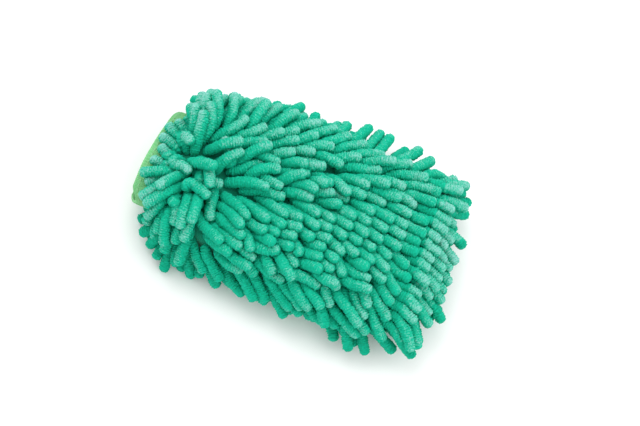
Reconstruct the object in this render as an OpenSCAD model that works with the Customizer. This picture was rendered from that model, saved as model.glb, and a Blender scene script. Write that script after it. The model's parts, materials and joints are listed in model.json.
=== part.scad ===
// Chenille wash mitt, lying on its lower pile with its fingertip end towards +X.
// Two tufted side panels and two lining panels are sewn round three edges into a bag,
// and a double rib-knit cuff closes the fourth edge round the wrist.
// Origin: middle of the mitt's outer box, on the surface that it lies on. +Z is up.

/* [Bag] */
// Length of the bag from its neck to the fingertip seam
bag_l = 211; // [195:1:225]
// Width of the bag's body, without its pile
body_w = 122; // [118:1:128]
// Width of the bag's gathered neck
neck_w = 88; // [84:1:92]
// Length over which the neck widens to the body
neck_l = 56; // [46:1:66]
// Height of the relaxed bag, both panels together
bag_h = 30; // [28:1:34]
// Extra height of the upper panel where the neck is gathered
neck_rise = 6; // [0:0.5:7]
// Plan radius of the two fingertip corners
corner_r = 30; // [24:1:36]
// Length over which the bag thins to the fingertip seam
nose_l = 55; // [45:1:65]

/* [Cloth] */
// Thickness of the knitted backing that holds the pile
backing_t = 1.6; // [1.2:0.1:1.8]
// Thickness of the lining
lining_t = 1.2; // [0.8:0.1:1.4]
// Free space between two neighbouring cloths
cloth_gap = 0.8; // [0.6:0.1:1]

/* [Cuff] */
// Length of the cuff from its hem to the bag's neck
cuff_l = 22; // [18:1:30]
// Width of the relaxed cuff
cuff_w = 86; // [82:1:90]
// Thickness of the doubled rib knit
cuff_t = 2.4; // [1.8:0.1:2.8]

/* [Pile] */
// Diameter of one chenille noodle
noodle_d = 8; // [7.6:0.1:8.2]
// Length of a noodle of the upper pile
noodle_l = 30; // [28:0.5:32]
// Height of the pile that the mitt lies on
lower_pile = 18; // [17:0.5:20]
// Distance between two rows of noodles
row_pitch = 12.8; // [12.6:0.1:13]
// Distance between two noodles of one row
noodle_pitch = 9.2; // [9.1:0.1:9.8]
// Sideways lean of the body's noodles for each unit of their height
lean = 1.35; // [1.25:0.05:1.4]

/* [Hidden] */
NOODLE_ROWS = 16;
function row_name(side, k) = str(side, "_noodles_row_", k < 10 ? "0" : "", k);

noodle_r = noodle_d / 2;
// Free space between a noodle's root and the backing
root_gap = 0.4;
root_out = noodle_r + root_gap;
// Free space on each side of the plane where the upper and lower panels meet
split_gap = 0.2;
half_h = bag_h / 2;
seam_z = lower_pile + half_h;
// How far the pile's tips are pressed flat by the mitt's own weight
press = 0.8;
// Where the gathered neck is highest, and how fast it falls away towards the body
rise_x = 16;
rise_l = 34;
first_row = 7.5;
// Middle of the whorl from which the upper noodles part, measured from the neck
whorl_x = 16;
// Distance from the whorl over which the noodles reach their full lean
whorl_l = 13;
lower_lean = 1.25;
// How far the noodles near a panel's edges lean out sideways
upper_side_lean = 1.4;
lower_side_lean = 0.9;
// Directions of the noodles round each fingertip corner, from straight ahead
corner_angles = [20, 39, 57];
lower_axis_l = (lower_pile - root_out - noodle_r + press) * sqrt(1 + lower_lean * lower_lean);
tip_rise = 10;
// Height of the side and fingertip noodles' roots above or below the seam
edge_z = noodle_r + 2.2;
seam_d = 1.6;
seam_gap = 0.8;
seam_x = bag_l + root_gap + seam_d / 2;
cuff_gap = 0.3;
tip_reach = bag_l + root_out + (noodle_l - noodle_d) * cos(tip_rise) + noodle_r;
// Places along the mitt are measured from the bag's neck, and the outer box's middle is the origin
neck_x = (cuff_l + cuff_gap - tip_reach) / 2;
thread_d = 0.9;
body_steps = 9;
nose_steps = 7;
across_steps = 16;
// Exponent of the bag's rounded cross-section
round_n = 3;
noodle_fn = 24;

function smooth(t) = let (c = min(max(t, 0), 1)) c * c * (3 - 2 * c);
function sgn(v) = v < 0 ? -1 : 1;
function unit(v) = v / norm(v);

// Half width of the bag at distance x from its neck, drawn in by d
function plan_w(x, d = 0) =
    x > bag_l - corner_r
        ? body_w / 2 - corner_r
            + sqrt(max((corner_r - d) ^ 2 - (x - bag_l + corner_r) ^ 2, 0))
        : neck_w / 2 + (body_w - neck_w) / 2 * smooth(x / neck_l) - d;

// Share of the gathered neck's extra height at distance x from the neck
function gather(x) = x < rise_x ? smooth(x / rise_x) : exp(-((x - rise_x) / rise_l) ^ 2);

// Height of a panel over the seam at distance x from the neck, drawn in by d
function crown(x, d = 0, rise = 0) =
    let (nose = max(x - bag_l + nose_l, 0) / (nose_l - d))
    (half_h - d + rise * gather(x)) * sqrt(max(1 - nose * nose, 0));

function panel_z(x, y, rise) =
    crown(x, 0, rise) * pow(max(1 - pow(abs(y) / plan_w(x), round_n), 0), 1 / round_n);

function panel_normal(x, y, rise) =
    let (e = 0.5)
    unit([
        panel_z(x - e, y, rise) - panel_z(x + e, y, rise),
        panel_z(x, y - e, rise) - panel_z(x, y + e, rise),
        2 * e
    ]);

function station_x(i, d) =
    i <= body_steps
        ? (bag_l - nose_l) * i / body_steps
        : bag_l - nose_l + (nose_l - d) * sin(90 * (i - body_steps) / nose_steps);

// One face of a panel as a grid of points, drawn in by d
function panel_grid(d, rise) =
    let (steps = body_steps + nose_steps)
    [for (i = [0:steps])
        let (x = station_x(i, d))
        for (j = [0:across_steps])
            let (a = 180 * j / across_steps)
            [
                x,
                plan_w(x, d) * sgn(cos(a)) * pow(abs(cos(a)), 2 / round_n),
                split_gap + (j % across_steps == 0 || i == steps
                    ? 0
                    : crown(x, d, rise) * pow(sin(a), 2 / round_n))
            ]
    ];

// A thin domed panel: an outer and an inner grid, joined round their edges
module panel(d, thickness, rise) {
    rows = body_steps + nose_steps;
    cols = across_steps + 1;
    count = (rows + 1) * cols;
    points = concat(panel_grid(d, rise), panel_grid(d + thickness, rise));
    grid = [for (i = [0:rows - 1]) for (j = [0:across_steps - 1])
        let (a = i * cols + j)
        [[a, a + 1, a + cols + 1], [a, a + cols + 1, a + cols]]
    ];
    outer = [for (pair = grid) for (f = pair) f];
    inner = [for (f = outer) [f[0] + count, f[2] + count, f[1] + count]];
    edge = concat(
        [for (j = [0:across_steps - 1]) j],
        [for (i = [0:rows - 1]) i * cols + across_steps],
        [for (j = [across_steps:-1:1]) rows * cols + j],
        [for (i = [rows:-1:1]) i * cols]
    );
    rim = [for (k = [0:len(edge) - 1])
        let (a = edge[k], b = edge[(k + 1) % len(edge)])
        [[b, a, a + count], [b, a + count, b + count]]
    ];
    polyhedron(points = points, faces = concat(outer, inner, [for (pair = rim) for (f = pair) f]));
}

// Puts what is drawn from the neck and the seam's height into the mitt's frame
module upper_side() {
    translate([neck_x, 0, seam_z]) children();
}

module lower_side() {
    translate([neck_x, 0, seam_z]) mirror([0, 0, 1]) children();
}

function upper_lean_x(x) = lean * min(max((x - whorl_x) / whorl_l, -1), 1);
function lower_lean_x(x) = x < first_row + row_pitch / 2 ? -lower_lean : lower_lean;
function side_lean(x, y) = sgn(y) * (y / plan_w(x)) ^ 2;

// Outward direction of the bag's plan outline at distance x from the neck
function outline_normal(x, side) =
    unit([(plan_w(x - 0.5) - plan_w(x + 0.5)), side, 0]);

// Places across one row: every second row is shifted by half a pitch
function row_places(x, k) =
    let (half = (k % 2) / 2, reach = plan_w(x) - 8)
    [for (j = [-8:8]) let (y = (j + half) * noodle_pitch) if (abs(y) <= reach) y];

function row_x(k) = first_row + (k - 1) * row_pitch;

module noodle(base, dir, axis_l) {
    translate(base)
        rotate([0, acos(dir.z), atan2(dir.y, dir.x)])
            rotate_extrude($fn = noodle_fn)
                intersection() {
                    union() {
                        circle(noodle_r, $fn = noodle_fn);
                        translate([0, axis_l]) circle(noodle_r, $fn = noodle_fn);
                        square([noodle_r, axis_l]);
                    }
                    translate([0, -noodle_d]) square([noodle_d, axis_l + 2 * noodle_d]);
                }
}

// The noodles of one row that grow from a panel's face
module face_noodles(k, rise, lean_x, lean_y, axis_l) {
    x = row_x(k);
    for (y = row_places(x, k)) {
        base = [x, y, panel_z(x, y, rise)] + root_out * panel_normal(x, y, rise);
        noodle(base, unit([lean_x, lean_y * side_lean(x, y), 1]), axis_l);
    }
}

// The two noodles at a row's ends, which grow out of the bag's sides; the last row has none
module side_noodles(k, lean_x) {
    x = row_x(k);
    if (k < NOODLE_ROWS) for (side = [-1, 1]) {
        out = outline_normal(x, side);
        base = [x, side * plan_w(x), edge_z] + root_out * out;
        noodle(base, unit(out + [0.45 * lean_x, 0, 0.14]), noodle_l - noodle_d);
    }
}

// The noodles along the fingertip edge and round its two corners
module fingertip_noodles() {
    straight = body_w / 2 - corner_r;
    axis_l = noodle_l - noodle_d;
    for (j = [-3:3])
        noodle([bag_l + root_out, j * noodle_pitch, edge_z], [cos(tip_rise), 0, sin(tip_rise)], axis_l);
    for (side = [-1, 1]) for (a = corner_angles) {
        out = [cos(a), side * sin(a), 0];
        base = [bag_l - corner_r, side * straight, edge_z] + (corner_r + root_out) * out;
        noodle(base, unit(out + [0, 0, tan(tip_rise)]), axis_l);
    }
}

// Cuts away what would be below the surface that the mitt lies on
module pressed_flat() {
    difference() {
        children();
        translate([-bag_l, -bag_l, -bag_h]) cube([2 * bag_l, 2 * bag_l, bag_h]);
    }
}

module upper_backing() {
    color("seagreen") upper_side() panel(0, backing_t, neck_rise);
}

module lower_backing() {
    color("seagreen") lower_side() panel(0, backing_t, 0);
}

module upper_lining() {
    color("honeydew") upper_side() panel(backing_t + cloth_gap, lining_t, neck_rise);
}

module lower_lining() {
    color("honeydew") lower_side() panel(backing_t + cloth_gap, lining_t, 0);
}

module stadium(w, h) {
    for (side = [-1, 1]) translate([side * (w - h) / 2, 0]) circle(d = h, $fn = 48);
    square([w - h, h], center = true);
}

// Half of the cuff's flattened tube, on the positive side of the seam's height
module half_cuff() {
    intersection() {
        translate([-cuff_l - cuff_gap, 0, 0])
            rotate([90, 0, 90])
                linear_extrude(cuff_l)
                    difference() {
                        stadium(cuff_w, bag_h);
                        stadium(cuff_w - 2 * cuff_t, bag_h - 2 * cuff_t);
                    }
        translate([-2 * cuff_l, -cuff_w, split_gap]) cube([4 * cuff_l, 2 * cuff_w, bag_h]);
    }
}

module upper_cuff() {
    color("yellowgreen") upper_side() half_cuff();
}

module lower_cuff() {
    color("yellowgreen") lower_side() half_cuff();
}

stitch_z = half_h + root_gap + thread_d / 2;
stitch_pitch = 5;
stitch_count = 5;
// The upper neck stitches lie a little higher, over the gathered cloth
neck_stitch_rise = 1;

// Stitches along the hem, lying across the cuff
module hem_stitches() {
    for (j = [-stitch_count:stitch_count])
        translate([-cuff_l + 4, j * stitch_pitch - 1.6, stitch_z])
            rotate([-90, 0, 0]) cylinder(h = 3.2, d = thread_d, $fn = 16);
}

// Stitches that cross from the cuff to the bag's neck
module neck_stitches(rise) {
    for (j = [-stitch_count:stitch_count])
        translate([-3.2, j * stitch_pitch, stitch_z + rise])
            rotate([0, 90, 0]) cylinder(h = 5.6, d = thread_d, $fn = 16);
}

module upper_hem_stitches() {
    color("olivedrab") upper_side() hem_stitches();
}

module lower_hem_stitches() {
    color("olivedrab") lower_side() hem_stitches();
}

module upper_neck_stitches() {
    color("seagreen") upper_side() neck_stitches(neck_stitch_rise);
}

module lower_neck_stitches() {
    color("seagreen") lower_side() neck_stitches(0);
}

// Overlocked edge along one side, just under the plane where the panels meet
module side_seam(side) {
    steps = 24;
    last = bag_l - corner_r / 12;
    inner = [for (i = [0:steps]) let (x = 2 + (last - 2) * sin(90 * i / steps))
        [x, side * (plan_w(x) + seam_gap)]];
    outer = [for (i = [steps:-1:0]) let (x = 2 + (last - 2) * sin(90 * i / steps))
        [x, side * (plan_w(x) + seam_gap + seam_d)]];
    lower_side() translate([0, 0, split_gap]) linear_extrude(seam_d) polygon(concat(inner, outer));
}

module left_side_seam() {
    color("mediumseagreen") side_seam(1);
}

module right_side_seam() {
    color("mediumseagreen") side_seam(-1);
}

// Round seam on the line about which the mouth opens
module fingertip_seam() {
    reach = body_w / 2 - corner_r;
    color("mediumseagreen")
        lower_side()
            translate([seam_x, -reach, 0])
                rotate([-90, 0, 0]) cylinder(h = 2 * reach, d = seam_d, $fn = 24);
}

module upper_noodles_row(k) {
    x = row_x(k);
    color("mediumaquamarine") upper_side() {
        face_noodles(k, neck_rise, upper_lean_x(x), upper_side_lean, noodle_l - noodle_d);
        side_noodles(k, upper_lean_x(x));
    }
}

module lower_noodles_row(k) {
    x = row_x(k);
    color("lightseagreen") pressed_flat() lower_side() {
        face_noodles(k, 0, lower_lean_x(x), lower_side_lean, lower_axis_l);
        side_noodles(k, lower_lean_x(x));
    }
}

module upper_noodles_fingertips() {
    color("mediumaquamarine") upper_side() fingertip_noodles();
}

module lower_noodles_fingertips() {
    color("lightseagreen") lower_side() fingertip_noodles();
}

upper_backing();
lower_backing();
upper_lining();
lower_lining();
upper_cuff();
lower_cuff();
upper_hem_stitches();
lower_hem_stitches();
upper_neck_stitches();
lower_neck_stitches();
left_side_seam();
right_side_seam();
fingertip_seam();
for (k = [1:NOODLE_ROWS]) {
    upper_noodles_row(k);
    lower_noodles_row(k);
}
upper_noodles_fingertips();
lower_noodles_fingertips();
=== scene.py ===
import json
import math

import bpy
import numpy as np
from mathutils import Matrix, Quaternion, Vector


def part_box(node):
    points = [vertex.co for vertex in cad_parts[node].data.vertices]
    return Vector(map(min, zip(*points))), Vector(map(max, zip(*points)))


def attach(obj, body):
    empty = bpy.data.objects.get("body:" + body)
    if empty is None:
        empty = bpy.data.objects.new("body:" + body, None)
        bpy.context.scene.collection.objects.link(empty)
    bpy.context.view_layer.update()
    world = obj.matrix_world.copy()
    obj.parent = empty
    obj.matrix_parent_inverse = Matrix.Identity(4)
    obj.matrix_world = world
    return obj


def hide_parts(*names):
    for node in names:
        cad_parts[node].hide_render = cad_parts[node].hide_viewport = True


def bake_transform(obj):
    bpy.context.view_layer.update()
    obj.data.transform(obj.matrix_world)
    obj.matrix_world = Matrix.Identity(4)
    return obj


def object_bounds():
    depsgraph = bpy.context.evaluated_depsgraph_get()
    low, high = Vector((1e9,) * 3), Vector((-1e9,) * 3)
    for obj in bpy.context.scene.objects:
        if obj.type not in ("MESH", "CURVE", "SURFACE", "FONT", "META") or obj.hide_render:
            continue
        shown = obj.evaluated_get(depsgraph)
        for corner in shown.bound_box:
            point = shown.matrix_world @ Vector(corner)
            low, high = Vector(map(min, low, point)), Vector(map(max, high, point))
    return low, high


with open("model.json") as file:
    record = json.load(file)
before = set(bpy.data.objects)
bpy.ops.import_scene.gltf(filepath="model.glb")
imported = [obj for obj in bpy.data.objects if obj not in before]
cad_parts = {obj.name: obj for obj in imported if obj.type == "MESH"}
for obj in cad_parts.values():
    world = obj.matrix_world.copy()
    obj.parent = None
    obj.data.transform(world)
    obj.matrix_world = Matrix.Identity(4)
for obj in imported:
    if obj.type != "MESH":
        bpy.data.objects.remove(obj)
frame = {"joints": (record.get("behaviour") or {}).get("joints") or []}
CAD_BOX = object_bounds()
MM = 0.001

# ---- the camera -------------------------------------------------------------------------------

VIEW_AZIMUTH = math.radians(0)
VIEW_ELEVATION = math.radians(66)
VIEW_ROLL = math.radians(20.4)
VIEW_WIDTH = 512 * MM  # what the frame takes in at the mitt
LENS = 110
SENSOR = 36
AIM_RIGHT = 14 * MM  # how far the aim lies from the mitt's middle, along the picture's axes
AIM_UP = -5 * MM


def make_camera():
    back = Vector((
        math.sin(VIEW_AZIMUTH) * math.cos(VIEW_ELEVATION),
        -math.cos(VIEW_AZIMUTH) * math.cos(VIEW_ELEVATION),
        math.sin(VIEW_ELEVATION),
    ))
    turn = (-back).to_track_quat("-Z", "Y") @ Quaternion((0, 0, 1), VIEW_ROLL)
    middle = (CAD_BOX[0] + CAD_BOX[1]) / 2
    aim = middle + turn @ Vector((AIM_RIGHT, AIM_UP, 0))
    data = bpy.data.cameras.new("camera")
    data.lens = LENS
    data.sensor_width = SENSOR
    camera = bpy.data.objects.new("camera", data)
    camera.rotation_mode = "QUATERNION"
    camera.rotation_quaternion = turn
    camera.location = aim + back * (VIEW_WIDTH * LENS / SENSOR)
    bpy.context.collection.objects.link(camera)
    bpy.context.scene.camera = camera


make_camera()

# ---- the bag's shape, from the frame ----------------------------------------------------------

UPPER_LOW, UPPER_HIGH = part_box("upper_backing")
LOWER_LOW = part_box("lower_backing")[0]
CUFF_LOW, CUFF_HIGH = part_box("upper_cuff")
HINGE = Vector(frame["joints"][0]["pos_m"])
SEAM_Z = HINGE.z
NECK_X, TIP_X = UPPER_LOW.x, UPPER_HIGH.x
BODY_L = TIP_X - NECK_X
HEM_X = CUFF_LOW.x
BODY_W = UPPER_HIGH.y  # half widths of the bag and of its neck
NECK_W = CUFF_HIGH.y + 1 * MM
HALF_H = SEAM_Z - LOWER_LOW.z
NECK_RISE = UPPER_HIGH.z - SEAM_Z - HALF_H  # how much the gathered neck stands over the bag
RISE_X, RISE_L = 16 * MM, 34 * MM  # where that is highest, and how far beyond it fades
NECK_L = 56 * MM  # the bag widens over this length from its neck
NOSE_L = 55 * MM  # and thins over this length to its fingertip seam
CORNER_R = 30 * MM
ROUND_N = 3.0  # squareness of the bag's cross-section, where 2 is an ellipse


def smooth(t):
    """0 up to 0, 1 from 1 on, and smooth between them."""
    t = np.clip(t, 0, 1)
    return t * t * (3 - 2 * t)


def ramp(value, start, length):
    """0 up to start, 1 from start + length on, and smooth between them."""
    return smooth((value - start) / length)


def half_width(x):
    """Half width of the bag's plan at x, an array; the cuff carries its neck on."""
    body = NECK_W + (BODY_W - NECK_W) * smooth((x - NECK_X) / NECK_L)
    corner = np.sqrt(np.clip(CORNER_R**2 - (x - TIP_X + CORNER_R) ** 2, 0, None))
    return np.where(x > TIP_X - CORNER_R, BODY_W - CORNER_R + corner, body)


def half_height(x, upper):
    """Height of one side of the bag over its seam's plane; upper says which side."""
    nose = np.clip(x - TIP_X + NOSE_L, 0, NOSE_L) / NOSE_L
    past = x - NECK_X - RISE_X
    rise = NECK_RISE * np.where(past < 0, smooth(1 + past / RISE_X), np.exp(-((past / RISE_L) ** 2)))
    return (HALF_H + np.where(upper, rise, 0)) * np.sqrt(np.clip(1 - nose**2, 1e-6, 1))


def section(x, angle, grow=0.0):
    """Point of the bag's cross-section at x, at an angle from +Y over the top."""
    upper = np.sin(angle) >= 0
    w = half_width(x) + grow
    h = half_height(x, upper) + grow
    c, s = np.cos(angle), np.sin(angle)
    y = w * np.sign(c) * np.abs(c) ** (2 / ROUND_N)
    z = SEAM_Z + h * np.sign(s) * np.abs(s) ** (2 / ROUND_N)
    return np.stack([x + 0 * y, y, z], axis=-1)


def bag_level(p):
    """Less than 1 inside the bag and its cuff, more than 1 outside."""
    x = np.clip(p[..., 0], HEM_X, TIP_X - 0.2 * MM)
    w = np.maximum(half_width(x), 1 * MM)
    h = np.maximum(half_height(x, p[..., 2] > SEAM_Z), 1 * MM)
    sideways = np.abs(p[..., 1] / w) ** ROUND_N
    upward = np.abs((p[..., 2] - SEAM_Z) / h) ** ROUND_N
    beyond = np.maximum(p[..., 0] - TIP_X, HEM_X - p[..., 0]) / (10 * MM)
    return (sideways + upward) ** (1 / ROUND_N) + np.maximum(beyond, 0)


def bag_gradient(p):
    """Steepest rise of bag_level, which points straight out of the bag."""
    step = 0.2 * MM
    grad = np.empty_like(p)
    for axis in range(3):
        shift = np.zeros(3)
        shift[axis] = step
        grad[..., axis] = (bag_level(p + shift) - bag_level(p - shift)) / (2 * step)
    return grad


# ---- the chenille noodles ---------------------------------------------------------------------

RNG = np.random.default_rng(11)
ROWS = 16
FIRST_ROW = 7.5 * MM  # from the neck to the first row
ROW_PITCH = 12.8 * MM
NOODLE_PITCH = 9.3 * MM  # along a row
NECK_LINES = (-4.5 * MM, 1.5 * MM, 7.5 * MM)  # the row at the neck is three lines deep
EDGE_Z = 6 * MM  # the fingertips' noodles grow this far over or under the seam
TIP_ANGLES = (18, 36, 54, 72)  # where they stand round the bag's corners, in degrees

NOODLE_R = 4.3 * MM
NOODLE_L = 34 * MM  # from the backing to the middle of the tip's ball
RIDGE_PITCH = 1.9 * MM  # the yarn's fibres stand in turns round its core
RIDGE = 0.24 * MM
TUFT = 0.3 * MM  # unevenness of the fibres' ends
BLUNT = 2.4  # bluntness of the tip, where 2 is a half ball
RINGS, AROUND = 112, 26  # points along and round a noodle's skin

WHORL = np.array([NECK_X + 11.5 * MM, -3 * MM])  # middle of the whorl, seen from above
FAN = WHORL + (12 * MM, 0)  # the noodles over the cuff fan out from here
SWEEP = math.radians(32)  # how far the lay turns towards the near edge, -Y, on its way to the fingertips
STRAYS = 0.5  # share of the lower pile's noodles that stick out from under the near edge


def unit(v):
    return v / np.maximum(np.linalg.norm(v, axis=-1, keepdims=True), 1e-9)


def run_along(line):
    """Distance along a line at each of its points."""
    return np.concatenate([[0], np.cumsum(np.linalg.norm(np.diff(line, axis=0), axis=1))])


def row_angles(x, upper):
    """Angles at which one row's noodles grow, evenly spaced along the bag's cross-section."""
    angle = np.linspace(0, math.pi, 401) * (1 if upper else -1)
    run = run_along(section(np.full(401, x), angle))
    count = int(round(run[-1] / NOODLE_PITCH))
    places = (np.arange(count) + 0.5) / count * run[-1] + RNG.normal(0, 0.5 * MM, count)
    return np.interp(places, run, angle)


def row_roots(upper, k):
    x = NECK_X + FIRST_ROW + (k - 1) * ROW_PITCH
    roots = []
    for shift in NECK_LINES if k == 1 else (0,):
        angles = row_angles(x, upper)
        roots.append(section(x + shift + RNG.normal(0, 0.9 * MM, len(angles)), angles))
    return np.concatenate(roots)


def tip_roots(upper):
    """Roots along the fingertip edge, round both of its corners."""
    side = 1 if upper else -1
    straight = BODY_W - CORNER_R
    roots = [(TIP_X, j * NOODLE_PITCH, SEAM_Z + side * EDGE_Z) for j in range(-3, 4)]
    for a in TIP_ANGLES:
        for s in (-1, 1):
            c = math.radians(a)
            roots.append((
                TIP_X - CORNER_R + CORNER_R * math.cos(c),
                s * (straight + CORNER_R * math.sin(c)),
                SEAM_Z + side * EDGE_Z,
            ))
    return np.array(roots) + RNG.normal(0, 0.6 * MM, (len(roots), 3))


def plant():
    """All noodles' roots, with the name of the row that each belongs to."""
    roots, names = [], []
    for upper in (True, False):
        side = "upper" if upper else "lower"
        for k in range(1, ROWS + 1):
            r = row_roots(upper, k)
            roots.append(r)
            names += [f"{side}_noodles_row_{k:02d}"] * len(r)
        r = tip_roots(upper)
        roots.append(r)
        names += [f"{side}_noodles_fingertips"] * len(r)
    return np.concatenate(roots), np.array(names)


def strays(roots):
    """Which noodles of the lower pile stick out from under the mitt's near edge."""
    picked = np.random.default_rng(5).random(len(roots)) < STRAYS
    along = roots[:, 0] - NECK_X
    near_edge = (roots[:, 1] < -0.75 * half_width(roots[:, 0])) & (along > 30 * MM) & (along < 160 * MM)
    return picked & near_edge & (roots[:, 2] < SEAM_Z)


def comb(roots, normals):
    """Direction that each noodle's lay follows, longer where it is pulled down harder."""
    along, across = roots[:, :1] - NECK_X, roots[:, 1:2]
    sideways = np.abs(across) / half_width(roots[:, :1])

    # Away from the whorl at the neck
    plan = roots[:, :2] - WHORL
    over_cuff = ramp(-plan[:, :1], 0, 4 * MM)
    away = unit(plan) * (1 - over_cuff) + unit(roots[:, :2] - FAN) * over_cuff
    lay = np.clip(np.linalg.norm(plan, axis=1) / (36 * MM), 0.5, 1)[:, None]
    lay = np.maximum(lay, over_cuff)
    flow = np.concatenate([away * lay, np.zeros((len(roots), 1))], axis=1)

    # Out over the long edges, least at the corners of the fingertips; the lower pile is tucked under
    edge = ramp(sideways, 0.72, 0.28)
    at_corner = ramp(along, 160 * MM, 30 * MM)
    out = np.where(across > 0, (0.75 + 0.95 * smooth(along / BODY_L)) * (1 - 0.75 * at_corner), 0.2)
    under = np.where(strays(roots)[:, None], 1.2, -0.8)
    out = np.where(roots[:, 2:] > SEAM_Z, out, under) * (1 - over_cuff)
    flow[:, 1:2] += out * edge * np.sign(across)

    # Less towards the fingertips along the far edge, and more along the near one
    far_edge = edge * (across > 0) * ramp(along, 60 * MM, 60 * MM) * (1 - at_corner)
    flow[:, :1] -= 0.7 * far_edge
    near_side = ramp(-across / half_width(roots[:, :1]), 0.45, 0.4)
    flow[:, :1] += 0.8 * near_side * ramp(along, 20 * MM, 50 * MM)

    # Ruffled round the whorl
    ruffle = np.exp(-np.sum((plan - (14 * MM, 0)) ** 2, axis=1) / (38 * MM) ** 2) * (1 - over_cuff[:, 0])
    flow *= np.clip(1 + 0.5 * RNG.normal(0, 1, len(roots)) * ruffle, 0.35, 2)[:, None]

    # Turned towards the near edge on the way to the fingertips, and the other way beside the neck
    sweep_from = 60 * MM + 50 * MM * ramp(-across, 15 * MM, 25 * MM)
    sweep = SWEEP * ramp(along, sweep_from, 80 * MM) * (1 - ramp(across, 25 * MM, 30 * MM))
    sweep -= 0.4 * SWEEP * ramp(-across, 25 * MM, 20 * MM) * (1 - ramp(along, 110 * MM, 50 * MM))

    # And turned at random, neatest at the fingertips
    neat = ramp(along[:, 0], 150 * MM, 40 * MM)
    loose = math.radians(10) * (1 + 4 * ruffle + 1.3 * near_side[:, 0] - 0.5 * neat)
    loose = np.where(strays(roots), 0.4 * loose, loose)
    turn = RNG.normal(0, 1, len(roots)) * loose - sweep[:, 0]
    c, s = np.cos(turn), np.sin(turn)
    flow[:, 0], flow[:, 1] = c * flow[:, 0] - s * flow[:, 1], s * flow[:, 0] + c * flow[:, 1]
    return flow - normals * np.sum(flow * normals, axis=1, keepdims=True) * 0.7


JOINTS = 11  # points along each noodle's middle line
CONTACT_R = 4.2 * MM
CURL = math.radians(20)  # spread of the noodles' own bend
FOLDED = 0.35  # share of the noodles at the whorl that are folded
STEPS, QUICK_STEPS = 260, 40
LIMP = ((2, 0.6), (4, 0.5))  # a noodle keeps its length over 2 and over 4 joints, this stiffly
WEIGHT = 0.7
LAY_PULL = 1.2
FALL = 0.016 * MM  # how much a pull of 1 adds to a point's move in one step
KEPT_MOVE = 0.86  # share of a point's last move that it keeps


def near_pairs(points, chain, reach):
    """Pairs of points of different noodles that are nearer than reach."""
    cell = np.floor((points - points.min(0)) / reach).astype(np.int64) + 1
    size = cell.max(0) + 2
    key = (cell[:, 0] * size[1] + cell[:, 1]) * size[2] + cell[:, 2]
    order = np.argsort(key, kind="stable")
    ordered = key[order]
    first, second = [], []
    for dx in (-1, 0, 1):
        for dy in (-1, 0, 1):
            middle = key + (dx * size[1] + dy) * size[2]
            low = np.searchsorted(ordered, middle - 1, "left")
            high = np.searchsorted(ordered, middle + 1, "right")
            count = high - low
            a = np.repeat(np.arange(len(points)), count)
            start = np.repeat(low - (np.cumsum(count) - count), count)
            b = order[start + np.arange(len(a))]
            keep = (a < b) & (chain[a] != chain[b])
            first.append(a[keep])
            second.append(b[keep])
    a, b = np.concatenate(first), np.concatenate(second)
    close = np.sum((points[a] - points[b]) ** 2, axis=1) < reach**2
    return a[close], b[close]


def spread(count, index, push):
    """Sum of the pushes on each point."""
    return np.stack([np.bincount(index, push[:, c], count) for c in range(3)], axis=1)


def curled(roots, start, seg):
    """The noodles as they grow: each a little curved, and some near the whorl folded like a hairpin."""
    n = len(roots)
    near = np.exp(-np.sum((roots[:, :2] - WHORL) ** 2, axis=1) / (28 * MM) ** 2)
    folded = RNG.random(n) < FOLDED * near
    # A folded one bends by 2.4 to 3 radians round its middle, the others evenly along their length
    joint = np.arange(JOINTS - 1)[None, :]
    fold = np.exp(-(((joint - RNG.uniform(4.2, 5.5, (n, 1))) / 1.6) ** 2))
    share = np.where(folded[:, None], fold / fold.sum(axis=1, keepdims=True), 1 / (JOINTS - 1))
    bend = np.where(folded, RNG.uniform(2.4, 3.0, n), RNG.normal(0, CURL, n))
    angle = np.cumsum(share * bend[:, None], axis=1)[:, :, None]
    sideways = RNG.normal(0, 1, (n, 3)) - (0, 0, 0.4)
    sideways = unit(sideways - start * np.sum(sideways * start, axis=1, keepdims=True))
    steps = start[:, None, :] * np.cos(angle) + sideways[:, None, :] * np.sin(angle)
    steps = np.concatenate([roots[:, None, :], steps * seg[:, None, :]], axis=1)
    return np.cumsum(steps, axis=1)


def keep_lengths(pile, seg, spans):
    """Pulls a noodle's joints back to their distances, one after the other from the root."""
    for k in range(JOINTS - 1):
        gap = pile[:, k + 1] - pile[:, k]
        size = np.linalg.norm(gap, axis=1, keepdims=True)
        fix = gap * (1 - seg / np.maximum(size, 1e-6))
        if k == 0:
            pile[:, 1] -= fix
        else:
            pile[:, k] += fix * 0.5
            pile[:, k + 1] -= fix * 0.5
    for span, stiff, rest in spans:
        for k in range(JOINTS - span):
            gap = pile[:, k + span] - pile[:, k]
            size = np.linalg.norm(gap, axis=1, keepdims=True)
            fix = gap * (1 - rest[:, k] / np.maximum(size, 1e-6)) * stiff
            if k > 0:
                pile[:, k] += fix * 0.5
            pile[:, k + span] -= fix * 0.5


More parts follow.
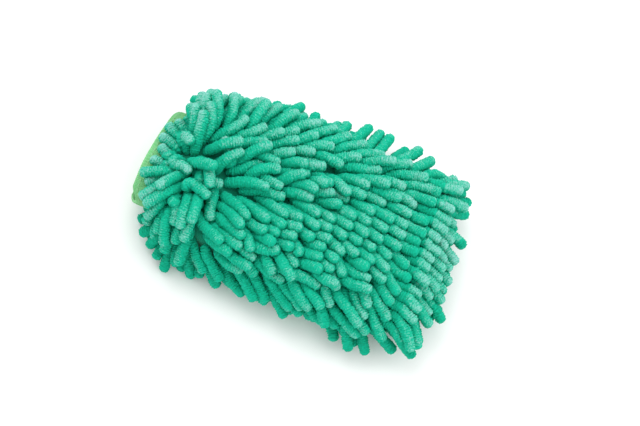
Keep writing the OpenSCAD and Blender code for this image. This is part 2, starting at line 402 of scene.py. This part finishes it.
def settle(roots, normals, lay, length, steps):
    """Lets every noodle fall, bend and lean on the others until the pile is at rest."""
    n = len(roots)
    seg = (length / (JOINTS - 1))[:, None]
    under = np.where(roots[:, 2:] < SEAM_Z, 0.5, 0.0) * (0, 0, -1)
    start = unit(normals * 0.85 + lay * 0.75 + under + RNG.normal(0, 0.05, (n, 3)))
    pile = curled(roots, start, seg)
    spans = [
        (span, stiff, np.linalg.norm(pile[:, span:] - pile[:, :-span], axis=2, keepdims=True))
        for span, stiff in LIMP
    ]
    before = pile.copy()
    chain = np.repeat(np.arange(n), JOINTS)
    part = np.tile(np.arange(JOINTS), n)
    free = (part > 0).astype(float)[:, None]
    soft = np.minimum(part / 3, 1)[:, None]  # the joints nearest the root give way less to the others
    clear = np.minimum(part * 1.6 * MM, CONTACT_R * 0.95)[:, None]  # and lie nearer the backing
    drift = RNG.normal(0, 0.1, (n, 3))
    pull = np.array([0, 0, -WEIGHT]) + lay * LAY_PULL + drift
    for step in range(steps):
        swell = min(1.0, 0.35 + step / 80)  # the noodles grow thick during the first steps
        move = (pile - before) * KEPT_MOVE
        before = pile.copy()
        pile = pile + move + pull[:, None, :] * FALL
        pile[:, 0] = roots
        aim = roots + start * seg
        pile[:, 1] += (aim - pile[:, 1]) * 0.6
        for _ in range(3):
            keep_lengths(pile, seg, spans)
        flat = pile.reshape(-1, 3)
        # Noodles push each other apart
        if step % 6 == 0:
            a, b = near_pairs(flat, chain, 2 * CONTACT_R + 3 * MM)
        gap = flat[b] - flat[a]
        size = np.linalg.norm(gap, axis=1, keepdims=True)
        want = 2 * CONTACT_R * swell
        push = np.where(size < want, gap / np.maximum(size, 1e-6) * (want - size) * 0.28, 0)
        flat = flat + (spread(len(flat), b, push) - spread(len(flat), a, push)) * free * soft
        # The bag and the floor push them out
        grad = bag_gradient(flat)
        steep = np.linalg.norm(grad, axis=1, keepdims=True)
        away = (bag_level(flat)[:, None] - 1) / np.maximum(steep, 1)
        flat = flat + np.where(away < clear, (clear - away) * grad / np.maximum(steep, 1), 0) * free * 0.7
        flat[:, 2] = np.maximum(flat[:, 2], NOODLE_R + RIDGE + 2 * TUFT)
        pile = flat.reshape(n, JOINTS, 3)
        pile[:, 0] = roots
    return pile


def curve_through(pile, count):
    """Smooth lines through the settled joints, count points to each noodle."""
    n, k, _ = pile.shape
    t = np.linspace(0, k - 1, count)
    i = np.minimum(t.astype(int), k - 2)
    f = (t - i)[None, :, None]
    p1, p2 = pile[:, i], pile[:, i + 1]
    p0 = np.where((i == 0)[None, :, None], 2 * p1 - p2, pile[:, np.maximum(i - 1, 0)])
    p3 = np.where((i == k - 2)[None, :, None], 2 * p2 - p1, pile[:, np.minimum(i + 2, k - 1)])
    return 0.5 * (
        2 * p1 + (p2 - p0) * f + (2 * p0 - 5 * p1 + 4 * p2 - p3) * f**2 + (3 * p1 - p0 - 3 * p2 + p3) * f**3
    )


def axes_along(line, first):
    """Two axes square to a line at each of its points, carried along it without twist."""
    tangent = unit(np.gradient(line, axis=0))
    guess = np.cross(tangent[0], first)
    side = np.empty_like(tangent)
    for i, t in enumerate(tangent):
        guess = guess - t * np.dot(guess, t)
        guess = guess / max(np.linalg.norm(guess), 1e-9)
        side[i] = guess
    return side, np.cross(tangent, side)


def circles(axes, phi):
    """Unit circles square to a line, one round each of its points."""
    side, up = axes
    return side[:, None, :] * np.cos(phi)[None, :, None] + up[:, None, :] * np.sin(phi)[None, :, None]


def turns(count):
    """Evenly spaced angles of a full turn."""
    return np.arange(count) / count * 2 * math.pi


def middle_line(line):
    """A noodle's middle line at even steps and on round its tip, the distance along it and its radius."""
    cap = int(RINGS * 0.13)
    body = RINGS - cap
    run = run_along(line)
    even = np.linspace(0, run[-1], body)
    centre = np.stack([np.interp(even, run, line[:, c]) for c in range(3)], axis=1)
    arc = np.linspace(0, math.pi / 2, cap + 1)[1:]
    ahead = np.sin(arc) ** (2 / BLUNT)
    last = unit(line[-1] - line[-2])
    centre = np.concatenate([centre, line[-1] + last * NOODLE_R * ahead[:, None]])
    along = np.concatenate([even, run[-1] + NOODLE_R * ahead])
    radius = np.concatenate([np.ones(body), np.maximum(np.cos(arc), 0) ** (2 / BLUNT) + 0.02])
    return centre, along, radius


def noodle_points(line, tint):
    """Skin of one noodle round its middle line: soft ridges, a round tip and a narrower root."""
    centre, along, radius = middle_line(line)
    share = along / along[-1]
    radius = radius * (0.72 + 0.28 * ramp(share, 0, 0.16))
    radius = radius * (1 + 0.035 * np.sin(along / (7 * MM) + tint * 40) - 0.05 * ramp(share, 0.7, 0.3))
    phi = turns(AROUND)
    turn = along[:, None] / RIDGE_PITCH + phi[None, :] / (2 * math.pi) + tint * 9
    wobble = 0.6 * np.sin(3 * phi[None, :] + along[:, None] / (2.3 * MM) + tint * 21)
    ridge = 0.5 + 0.5 * np.sin(2 * math.pi * turn + wobble)
    tuft = RNG.normal(0, 1, turn.shape)
    tuft = tuft + np.roll(tuft, 1, axis=0) + 0.6 * np.roll(tuft, 2, axis=0) + 0.3 * np.roll(tuft, 1, axis=1)
    tuft = tuft / 1.57  # about as uneven as before the neighbours were added
    skin = NOODLE_R * radius[:, None] + RIDGE * (2 * ridge - 1) * radius[:, None] ** 0.5
    skin = skin + TUFT * np.clip(tuft, -1.8, 1.8) * (radius[:, None] > 0.3)
    ring = circles(axes_along(centre, (0.3, 0.2, 0.9)), phi)
    points = centre[:, None, :] + ring * skin[:, :, None]
    # Colour marks: ridge crests against valleys with the tufts' unevenness, for painted shade in the
    # valleys, and how far each point faces out of the bag, for painted light and shade
    painted_ridge_shade_and_tufts = np.clip(0.4 * ridge + 0.3 + 0.25 * tuft, 0, 1)
    outward = np.sum(ring * unit(bag_gradient(centre))[:, None, :], axis=2)
    return points.reshape(-1, 3), share, painted_ridge_shade_and_tufts, 0.5 + 0.5 * outward


def tube_faces(rings, around):
    """Faces of a tube's skin, from rings of points."""
    i, j = np.meshgrid(np.arange(rings - 1), np.arange(around), indexing="ij")
    a = i * around + j
    b = i * around + (j + 1) % around
    return np.stack([a, b, b + around, a + around], axis=-1).reshape(-1, 4)


def tube_ends(rings, around):
    """The two end faces of such a tube."""
    end = np.arange(around)
    return np.stack([end[::-1], end + (rings - 1) * around])


def add_mesh(name, points, faces):
    """A mesh object from arrays; faces is a list of arrays of one face size each."""
    mesh = bpy.data.meshes.new(name)
    mesh.vertices.add(len(points))
    mesh.vertices.foreach_set("co", np.asarray(points, np.float32).ravel())
    loops = np.concatenate([f.ravel() for f in faces])
    sizes = np.concatenate([np.full(len(f), f.shape[1]) for f in faces])
    mesh.loops.add(len(loops))
    mesh.loops.foreach_set("vertex_index", loops.astype(np.int32))
    mesh.polygons.add(len(sizes))
    starts = np.concatenate([[0], np.cumsum(sizes)[:-1]])
    mesh.polygons.foreach_set("loop_start", starts.astype(np.int32))
    mesh.polygons.foreach_set("use_smooth", np.full(len(sizes), True))
    mesh.update(calc_edges=True)
    mesh.validate()
    obj = bpy.data.objects.new(name, mesh)
    bpy.context.collection.objects.link(obj)
    return obj


def make_row(name, lines, tints, material):
    """One row's noodles as a mesh, which carries what the chenille's colour depends on."""
    per = RINGS * AROUND
    skin_faces, end_faces = tube_faces(RINGS, AROUND), tube_ends(RINGS, AROUND)
    points, quads, ends, marks = [], [], [], []
    for n, (line, tint) in enumerate(zip(lines, tints)):
        skin, share, painted_ridge_shade_and_tufts, outward = noodle_points(line, tint)
        points.append(skin)
        quads.append(skin_faces + n * per)
        ends.append(end_faces + n * per)
        # The marks: random tint, share from root to tip, ridge crests with tufts, and facing out of the
        # bag; the last three place painted shade and highlight
        mark = np.ones((RINGS, AROUND, 4))
        mark[..., 0] = tint
        mark[..., 1] = share[:, None]
        mark[..., 2] = painted_ridge_shade_and_tufts
        mark[..., 3] = outward
        marks.append(mark.reshape(-1, 4))
    obj = add_mesh(name, np.concatenate(points), [np.concatenate(quads), np.concatenate(ends)])
    layer = obj.data.color_attributes.new("noodle", "FLOAT_COLOR", "POINT")
    layer.data.foreach_set("color", np.concatenate(marks).astype(np.float32).ravel())
    obj.data.materials.append(material)
    return obj


# ---- materials --------------------------------------------------------------------------------


class Shader:
    """A node material with one Principled shader, and short ways to add nodes to it."""

    def __init__(self, name, **values):
        self.material = bpy.data.materials.new(name)
        self.material.use_nodes = True
        self.tree = self.material.node_tree
        self.shader = self.tree.nodes["Principled BSDF"]
        for socket, value in values.items():
            self.shader.inputs[socket.replace("_", " ")].default_value = value

    def node(self, kind, inputs=None, **settings):
        made = self.tree.nodes.new(kind)
        for key, value in settings.items():
            setattr(made, key, value)
        for key, value in (inputs or {}).items():
            if isinstance(value, bpy.types.NodeSocket):
                self.tree.links.new(value, made.inputs[key])
            else:
                made.inputs[key].default_value = value
        return made

    def math(self, operation, a, b=0.0, c=0.0):
        made = self.node("ShaderNodeMath", {0: a, 1: b, 2: c}, operation=operation)
        return made.outputs[0]

    def clamp(self, value):
        return self.math("MINIMUM", self.math("MAXIMUM", value, 0.0), 1.0)

    def mix(self, factor, a, b, blend="MIX"):
        made = self.node("ShaderNodeMix", data_type="RGBA", blend_type=blend)
        for socket, value in ((made.inputs[0], factor), (made.inputs[6], a), (made.inputs[7], b)):
            if isinstance(value, bpy.types.NodeSocket):
                self.tree.links.new(value, socket)
            else:
                socket.default_value = value
        return made.outputs[2]

    def noise(self, scale, detail=3.0, where=None):
        inputs = {"Scale": scale, "Detail": detail}
        if where is not None:
            inputs["Vector"] = where
        return self.node("ShaderNodeTexNoise", inputs).outputs["Fac"]

    def link(self, output, socket):
        self.tree.links.new(output, self.shader.inputs[socket])

    def bump(self, height, distance, strength=1.0):
        made = self.node("ShaderNodeBump", {"Height": height, "Distance": distance, "Strength": strength})
        self.link(made.outputs[0], "Normal")


    def place(self):
        return self.node("ShaderNodeTexCoord").outputs["Object"]


# The chenille's own green, between a painted shade and a painted highlight
PAINTED_SHADE_GREEN = (0.0, 0.31, 0.18, 1)
GREEN = (0.0, 0.43, 0.265, 1)
PAINTED_HIGHLIGHT_GREEN = (0.26, 0.55, 0.50, 1)
FIBRES = 1000.0  # scales of the noises that stand for fibre ends, for their relief and for patches
RELIEF = 850.0
PATCHES = 45.0


def chenille_material():
    s = Shader(
        "chenille",
        Roughness=0.75,
        Specular_IOR_Level=0.12,
        Subsurface_Weight=0.35,
        Subsurface_Scale=3 * MM,
        Subsurface_Radius=(0.5, 1.0, 0.8),
        Sheen_Weight=0.02,
        Sheen_Roughness=0.8,
        Sheen_Tint=(0.5, 1.0, 0.9, 1),
    )
    marks = s.node("ShaderNodeAttribute", attribute_name="noodle")
    split = s.node("ShaderNodeSeparateColor", {"Color": marks.outputs["Color"]})
    # share, tuft (ridge crests with tufts) and outward place the painted shade and highlight: at the roots,
    # in the ridges' valleys and on the sides facing into or out of the bag
    tint, share, tuft = split.outputs
    outward = marks.outputs["Alpha"]
    where = s.place()
    fluff = s.noise(FIBRES, 3.0, where)
    patch = s.noise(PATCHES, 2.0, where)
    # Painted shade: deep green at the noodles' roots, on their sides that face into the bag and down in the
    # ridges' valleys, with random fibre speckle
    painted_light_and_shade = s.math("MULTIPLY_ADD", share, 0.55, s.math("MULTIPLY_ADD", outward, 0.9, -0.38))
    fibres_and_painted_shade = s.math("MULTIPLY_ADD", fluff, 1.6, s.math("ADD", painted_light_and_shade, -1.0))
    fibres_and_painted_shade = s.math("MULTIPLY_ADD", tuft, 0.9, fibres_and_painted_shade)
    color = s.mix(s.clamp(fibres_and_painted_shade), PAINTED_SHADE_GREEN, GREEN)
    # Painted highlight: pale on the noodles' tips and outward sides, with random fibre speckle, more so on
    # some noodles and in some patches
    grain = s.math("MULTIPLY_ADD", fluff, 2.1, s.math("MULTIPLY_ADD", tuft, 0.55, -3.22))
    grain = s.math("ADD", grain, s.math("MULTIPLY_ADD", patch, 0.45, s.math("MULTIPLY", tint, 0.2)))
    # Painted highlight also grows towards the pile's two ends and its far edge
    axes = s.node("ShaderNodeSeparateXYZ", {0: where})
    ends = s.clamp(s.math("MULTIPLY_ADD", s.math("ABSOLUTE", axes.outputs[0]), 1 / (50 * MM), -1.0))
    grain = s.math("MULTIPLY_ADD", ends, 0.2, s.math("MULTIPLY_ADD", axes.outputs[1], 1.8, grain))
    grain_and_painted_highlight = s.clamp(s.math("MULTIPLY_ADD", painted_light_and_shade, 1.9, grain))
    s.link(s.mix(grain_and_painted_highlight, color, PAINTED_HIGHLIGHT_GREEN), "Base Color")
    s.bump(s.noise(RELIEF, 3.0, where), 0.5 * MM, 0.9)
    return s.material


GROOVE_SHADE_LIME = (0.16, 0.50, 0.17, 1)
LIME = (0.36, 0.82, 0.41, 1)
DULL_LIME = (0.16, 0.56, 0.27, 1)


def cuff_material():
    s = Shader(
        "cuff_rib_knit",
        Roughness=0.85,
        Specular_IOR_Level=0.2,
        Sheen_Weight=0.3,
        Sheen_Roughness=0.5,
        Sheen_Tint=(0.8, 1.0, 0.6, 1),
    )
    knit = s.node("ShaderNodeAttribute", attribute_name="knit").outputs["Vector"]
    axes = s.node("ShaderNodeSeparateXYZ", {0: knit})
    around, along = axes.outputs[0], axes.outputs[1]
    # Each rib is a column of small V-shaped stitches
    lean = s.math("ABSOLUTE", s.math("SUBTRACT", s.math("FRACT", around), 0.5))
    course = s.math("ADD", along, s.math("MULTIPLY", lean, 1.2))
    stitch = s.math("SINE", s.math("MULTIPLY", course, 2 * math.pi))
    groove = s.math("SMOOTH_MIN", s.math("MULTIPLY", s.math("SUBTRACT", 0.5, lean), 3.0), 1.0, 0.2)
    height = s.math("MULTIPLY", s.math("MULTIPLY_ADD", stitch, 0.5, 0.5), groove)
    patch = s.noise(120.0, 3.0, s.place())
    # Darker down in the grooves between ribs and between stitches, a painted shade; duller in random
    # patches
    color = s.mix(height, GROOVE_SHADE_LIME, LIME)
    color = s.mix(s.math("MULTIPLY", patch, 0.5), color, DULL_LIME)
    s.link(color, "Base Color")
    s.bump(height, 0.35 * MM, 0.9)
    return s.material


def knit_material(name, dark, light, pitch):
    """Plain warp knit: offset rows of small loops."""
    s = Shader(name, Roughness=0.9, Specular_IOR_Level=0.15, Sheen_Weight=0.25, Sheen_Roughness=0.5)
    where = s.place()
    axes = s.node("ShaderNodeSeparateXYZ", {0: where})
    x = s.math("MULTIPLY", axes.outputs[0], 2 * math.pi / pitch)
    y = s.math("MULTIPLY", axes.outputs[1], 2 * math.pi / pitch)
    loops = s.math("MULTIPLY", s.math("SINE", x), s.math("SINE", y))
    height = s.math("MULTIPLY_ADD", loops, 0.5, 0.5)
    patch = s.noise(90.0, 3.0, where)
    # Darker between the loops, a painted shade, and in random patches
    color = s.mix(s.math("MULTIPLY_ADD", patch, 0.4, s.math("MULTIPLY", height, 0.6)), dark, light)
    s.link(color, "Base Color")
    s.bump(height, 0.3 * MM, 0.8)
    return s.material


PLY_PITCH = 0.7 * MM


def thread_material(name, color):
    """Twisted thread, with painted shade between its plies."""
    s = Shader(name, Roughness=0.6, Specular_IOR_Level=0.3, Sheen_Weight=0.2)
    axes = s.node("ShaderNodeSeparateXYZ", {0: s.place()})
    twist = s.math("ADD", s.math("ADD", axes.outputs[0], axes.outputs[1]), axes.outputs[2])
    ply = s.math("SINE", s.math("MULTIPLY", twist, 2 * math.pi / PLY_PITCH))
    ply = s.math("MULTIPLY_ADD", ply, 0.5, 0.5)
    dark = tuple(0.55 * c for c in color[:3]) + (1,)
    s.link(s.mix(ply, dark, color), "Base Color")
    s.bump(ply, 0.12 * MM, 0.8)
    return s.material


CHENILLE = chenille_material()
CUFF_KNIT = cuff_material()
BACKING = knit_material("backing_knit", (0.0, 0.16, 0.09, 1), (0.002, 0.34, 0.20, 1), 1.6 * MM)
LINING = knit_material("lining_knit", (0.03, 0.30, 0.20, 1), (0.10, 0.50, 0.35, 1), 1.2 * MM)
CUFF_THREAD = thread_material("cuff_thread", (0.32, 0.70, 0.34, 1))
SEAM_THREAD = thread_material("seam_thread", (0.01, 0.42, 0.26, 1))


# ---- the pieces -------------------------------------------------------------------------------


def trim(roots):
    """Each noodle's length for its place, as a share of NOODLE_L."""
    along, across = roots[:, 0] - NECK_X, roots[:, 1]
    edge = ramp(np.abs(across) / half_width(roots[:, 0]), 0.6, 0.4)
    toward_tip = smooth(along / BODY_L)
    at_corner = ramp(along, 165 * MM, 20 * MM)
    at_tip = ramp(along, 190 * MM, 15 * MM)

    # Along the long edges: longer towards the fingertips above, and short below but for the strays
    far = np.where(across > 0, 0.16 * toward_tip - 0.04 * at_corner, 0.44 * toward_tip - 0.18) * edge
    at_neck = 1 - ramp(along, 4 * MM, 14 * MM)
    far = np.where(roots[:, 2] > SEAM_Z, far, -0.12 * edge - 0.1 * at_neck)
    far = np.where(strays(roots), 0.12, far)
    uneven = RNG.normal(0, 0.1, len(roots)) * edge * (1 - at_tip)

    # Short at the neck, and shortest in its first line, so that the cuff's hem shows
    at_neck *= 0.2 + 0.3 * ramp(across, 0, 40 * MM)
    at_mouth = smooth((5.5 * MM - along) / (3 * MM))
    at_mouth *= 0.3 + 0.06 * ramp(-across, 0, 30 * MM) + 0.12 * ramp(across, 5 * MM, 25 * MM)
    return 1 + far + uneven - at_neck - at_mouth - 0.1 * at_tip


BENDING = (f"upper_noodles_row_{ROWS}", "upper_noodles_fingertips")


def make_pile():
    roots, names = plant()
    normals = unit(bag_gradient(roots))
    lay = comb(roots, normals)
    length = NOODLE_L * RNG.normal(1, 0.04, len(roots))
    length *= trim(roots)
    pile = settle(roots, normals, lay, length, STEPS)
    lines = curve_through(pile, 60)
    tints = RNG.random(len(roots))
    for name in dict.fromkeys(names):
        mine = names == name
        row = make_row(name.replace("noodles", "chenille"), lines[mine], tints[mine], CHENILLE)
        if name in BENDING:
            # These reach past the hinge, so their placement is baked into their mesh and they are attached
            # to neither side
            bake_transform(row)
        else:
            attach(row, "upper_side" if name.startswith("upper") else "lower_side")
        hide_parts(name)


BACKING_T = 1.4 * MM
LINING_T = 1.1 * MM
LINING_IN = 2.4 * MM  # the lining lies this far inside the backing's outer face


def bag_skin(name, grow, thickness, start_x, material):
    """A cloth bag: its outer face, its inner face and the edge round its mouth."""
    along, around = 90, 160
    points = []
    for depth in (0.0, thickness):
        end = TIP_X + grow - depth
        reach = np.concatenate([
            np.linspace(start_x, end - NOSE_L, along // 2, endpoint=False),
            end - NOSE_L + NOSE_L * np.sin(np.linspace(0, math.pi / 2, along - along // 2)),
        ])
        reach = np.minimum(reach, TIP_X - 0.05 * MM)
        x, a = np.meshgrid(reach, turns(around), indexing="ij")
        points.append(section(x, a, grow - depth).reshape(-1, 3))
    outer = tube_faces(along, around)
    inner = outer[:, ::-1] + along * around
    k = np.arange(around)
    n = (k + 1) % around
    rim = np.stack([n, k, k + along * around, n + along * around], axis=-1)
    last = (along - 1) * around
    caps = [np.stack([k + last]), np.stack([k[::-1] + last + along * around])]
    quads = np.concatenate([outer, inner, rim])
    obj = add_mesh(name, np.concatenate(points), [quads, np.concatenate(caps)])
    obj.data.materials.append(material)
    return obj


def open_mouth(obj):
    """Bakes the placement of cloth that lies across both sides into its mesh, attaching it to neither."""
    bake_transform(obj)


def make_bag():
    backing = bag_skin("backing_bag", 0, BACKING_T, NECK_X - 0.2 * MM, BACKING)
    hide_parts("upper_backing", "lower_backing")
    lining = bag_skin("lining_bag", -LINING_IN, LINING_T, NECK_X + 0.3 * MM, LINING)
    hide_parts("upper_lining", "lower_lining")
    for obj in (backing, lining):
        open_mouth(obj)


RIBS = 130
PER_RIB = 6  # points round the cuff for each rib
CUFF_T = 2.4 * MM  # of the doubled knit
LAYER_T = 1.0 * MM
RIB = 0.28 * MM
KNIT_COURSE = 1.15 * MM  # length of one stitch along a rib
HEM_IN = 1.0 * MM  # the cuff draws in by this much at its hem
HEM_SKEW = 0.13  # the hem lies a little askew
HEM_ROUND = 9 * MM  # its corners at the two side folds are rounded


def cuff_profile():
    """Cut through the doubled knit, as distance from the hem, depth and how much the ribs show."""
    length = NECK_X - 0.3 * MM - HEM_X
    r, small = CUFF_T / 2, CUFF_T / 2 - LAYER_T
    face = np.linspace(length, r, 22)
    fold = np.linspace(math.pi / 2, 3 * math.pi / 2, 9)[1:-1]
    inside = np.linspace(length, r, 8)
    parts = [
        np.stack([face, 0 * face, 1 + 0 * face], axis=1),
        np.stack([r + r * np.cos(fold), -r + r * np.sin(fold), 1 + 0 * fold], axis=1),
        np.stack([face[::-1], -2 * r + 0 * face, -1 + 0 * face], axis=1),
        np.stack([inside, -2 * r + LAYER_T + 0 * inside, 0 * inside], axis=1),
        np.stack([r + small * np.cos(fold[::-1]), -r + small * np.sin(fold[::-1]), 0 * fold], axis=1),
        np.stack([inside[::-1], -LAYER_T + 0 * inside, 0 * inside], axis=1),
    ]
    return np.concatenate(parts)


def hem_shift(angle):
    """How far the hem's edge is pulled back at each place round the cuff."""
    across = np.sign(np.cos(angle)) * np.abs(np.cos(angle)) ** (2 / ROUND_N)
    wave = 0.5 * MM * np.sin(3 * angle + 0.7) + 0.3 * MM * np.sin(7 * angle)
    corners = HEM_ROUND * (0.65 - 0.35 * across) * np.abs(across) ** 7
    return NECK_W * HEM_SKEW * (across + 0.4) + corners + wave


def cuff_point(angle, along, depth):
    """Point of the cuff: angle round it, distance from the hem and height over its outer face."""
    length = NECK_X - HEM_X
    back = np.clip(hem_shift(angle), 0, None) * (1 - along / length)
    return section(HEM_X + along + back, angle, depth - HEM_IN * (1 - along / length))


def make_cuff():
    profile = cuff_profile()
    count = RIBS * PER_RIB
    angle = turns(count)
    along, a = np.meshgrid(profile[:, 0], angle, indexing="ij")
    depth = np.meshgrid(profile[:, 1], angle, indexing="ij")[0]
    show = np.meshgrid(profile[:, 2], angle, indexing="ij")[0]
    rib = np.abs(np.cos(a * RIBS / 2)) ** 0.8
    course = 0.12 * MM * np.sin(2 * math.pi * along / KNIT_COURSE)
    points = cuff_point(a, along, depth + show * (RIB * (rib - 1) + course * rib))
    faces = tube_faces(len(profile), count)
    last = (len(profile) - 1) * count
    k = np.arange(count)
    n = (k + 1) % count
    close = np.stack([k + last, n + last, n, k], axis=-1)
    obj = add_mesh("rib_cuff", points.reshape(-1, 3), [np.concatenate([faces, close])])
    knit = obj.data.attributes.new("knit", "FLOAT_VECTOR", "POINT")
    place = np.stack([a * RIBS / (2 * math.pi), along / KNIT_COURSE, 0 * a], axis=-1)
    knit.data.foreach_set("vector", place.astype(np.float32).ravel())
    obj.data.materials.append(CUFF_KNIT)
    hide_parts("upper_cuff", "lower_cuff")
    open_mouth(obj)


def thread(line, radius, around):
    """Points of a short round thread along a line."""
    ring = circles(axes_along(line, (0.31, 0.17, 0.93)), turns(around))
    taper = np.ones(len(line))
    taper[[0, -1]] = 0.4
    return (line[:, None] + ring * radius * taper[:, None, None]).reshape(-1, 3)


def make_threads(name, lines, radius, material, around=8):
    """Threads along lines of the same number of points, as one object."""
    rings = len(lines[0])
    skin_faces, end_faces = tube_faces(rings, around), tube_ends(rings, around)
    points, quads, ends = [], [], []
    for n, line in enumerate(lines):
        start = n * rings * around
        points.append(thread(line, radius, around))
        quads.append(skin_faces + start)
        ends.append(end_faces + start)
    obj = add_mesh(name, np.concatenate(points), [np.concatenate(quads), np.concatenate(ends)])
    obj.data.materials.append(material)
    return obj


def even_angles(x, pitch):
    """Angles round the bag at x that are an even distance apart."""
    angle = np.linspace(0, 2 * math.pi, 1601)
    run = run_along(section(np.full(1601, x), angle))
    count = int(run[-1] / pitch)
    return np.interp(np.arange(count) / count * run[-1], run, angle)


STITCH_PITCH = 4.2 * MM
STITCH_IN = 4.5 * MM  # the stitches run this far from the hem
STITCH_R = 0.42 * MM
OVERLOCK_PITCH = 3.2 * MM
OVERLOCK_R = 0.4 * MM


def make_hem_stitches():
    """A line of straight stitches that holds the doubled hem."""
    angles = even_angles(HEM_X, STITCH_PITCH)
    t = np.linspace(0, 1, 9)
    turn = np.roll(angles, -1) - angles
    turn[-1] += 2 * math.pi
    lines = [
        cuff_point(a + d * 0.72 * t, STITCH_IN + 0 * t, STITCH_R * np.sin(math.pi * t) ** 0.6 - 0.45 * MM)
        for a, d in zip(angles, turn)
    ]
    obj = make_threads("hem_stitching", lines, STITCH_R, CUFF_THREAD)
    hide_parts("upper_hem_stitches", "lower_hem_stitches")
    open_mouth(obj)


def make_neck_stitches():
    """Overlock stitches that join the cuff to the bag, crossing the seam between them."""
    angles = even_angles(NECK_X, OVERLOCK_PITCH)
    t = np.linspace(0, 1, 9)
    over = (0.55 * np.sin(math.pi * t) ** 0.6 - 0.1) * MM
    lines = [section(NECK_X - 3 * MM + 5.5 * MM * t, a + 0.006 * t, over) for a in angles]
    obj = make_threads("neck_stitching", lines, OVERLOCK_R, SEAM_THREAD)
    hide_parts("upper_neck_stitches", "lower_neck_stitches")
    open_mouth(obj)


LOOP_PITCH = 2.4 * MM
LOOP_R = 0.75 * MM
SEAM_THREAD_R = 0.33 * MM


def seam_line(side, run):
    """Line of a side seam along the bag's edge, a little outside it."""
    x = NECK_X + 2 * MM + (BODY_L - 4.5 * MM) * np.sin(run * math.pi / 2)
    return np.stack([x, side * (half_width(x) + 1.6 * MM), 0 * x + SEAM_Z - 1.0 * MM], axis=1)


def overlock(name, line, node):
    """Loops of thread that wind round a cloth edge along a line."""
    run = run_along(line)
    count = int(run[-1] / LOOP_PITCH)
    t = np.linspace(0, 1, count * 14)
    centre = np.stack([np.interp(t * run[-1], run, line[:, c]) for c in range(3)], axis=1)
    along = unit(np.gradient(centre, axis=0))
    out = np.cross(along, (0, 0, 1.0))
    turn = 2 * math.pi * count * t
    coil = centre + out * (LOOP_R * np.cos(turn))[:, None]
    coil[:, 2] += LOOP_R * np.sin(turn)
    obj = make_threads(name, [coil, centre], SEAM_THREAD_R, SEAM_THREAD, 6)
    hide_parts(node)
    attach(obj, "lower_side")


def make_seams():
    run = np.linspace(0, 1, 200)
    overlock("left_overlock", seam_line(1, run), "left_side_seam")
    overlock("right_overlock", seam_line(-1, run), "right_side_seam")
    low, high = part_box("fingertip_seam")
    y = np.linspace(low.y, high.y, 80)
    middle = (low + high) / 2
    line = np.stack([middle.x + 0 * y, y, middle.z - 0.4 * MM + 0 * y], axis=1)
    overlock("fingertip_overlock", line, "fingertip_seam")


make_pile()
make_bag()
make_cuff()
make_hem_stitches()
make_neck_stitches()
make_seams()

# ---- floor and light --------------------------------------------------------------------------


FLOOR = 3.0  # half its width, in metres


def make_stage():
    s = Shader("floor", Roughness=0.9, Specular_IOR_Level=0.1)
    grain = s.noise(3.0, 2.0, s.place())
    color = s.mix(s.math("MULTIPLY", grain, 0.02), (0.9, 0.9, 0.9, 1), (0.86, 0.87, 0.88, 1))
    s.link(color, "Base Color")
    corners = np.array([(-FLOOR, -FLOOR, 0), (FLOOR, -FLOOR, 0), (FLOOR, FLOOR, 0), (-FLOOR, FLOOR, 0)])
    floor = add_mesh("floor", corners, [np.array([[0, 1, 2, 3]])])
    floor.data.materials.append(s.material)


def make_light(name, place, size, power):
    """A round area light that shines at the mitt."""
    data = bpy.data.lights.new(name, "AREA")
    data.shape = "DISK"
    data.size = size
    data.energy = power
    light = bpy.data.objects.new(name, data)
    light.location = place
    light.rotation_mode = "QUATERNION"
    light.rotation_quaternion = (-Vector(place)).to_track_quat("-Z", "Y")
    bpy.context.collection.objects.link(light)


def seen_from(right, up, back):
    """A place given along the camera's own axes, so that the light falls as it does in the picture."""
    return bpy.context.scene.camera.rotation_quaternion @ Vector((right, up, back))


def light_scene():
    make_light("key", seen_from(-0.1, 1.1, 1.1), 1.2, 8)
    make_light("fill", seen_from(1.1, 0.1, 0.8), 1.2, 4)
    world = bpy.data.worlds.new("world")
    world.use_nodes = True
    background = world.node_tree.nodes["Background"]
    background.inputs["Color"].default_value = (1, 1, 1, 1)
    background.inputs["Strength"].default_value = 1.13
    bpy.context.scene.world = world
    bpy.context.scene.view_settings.view_transform = "Standard"


make_stage()
light_scene()
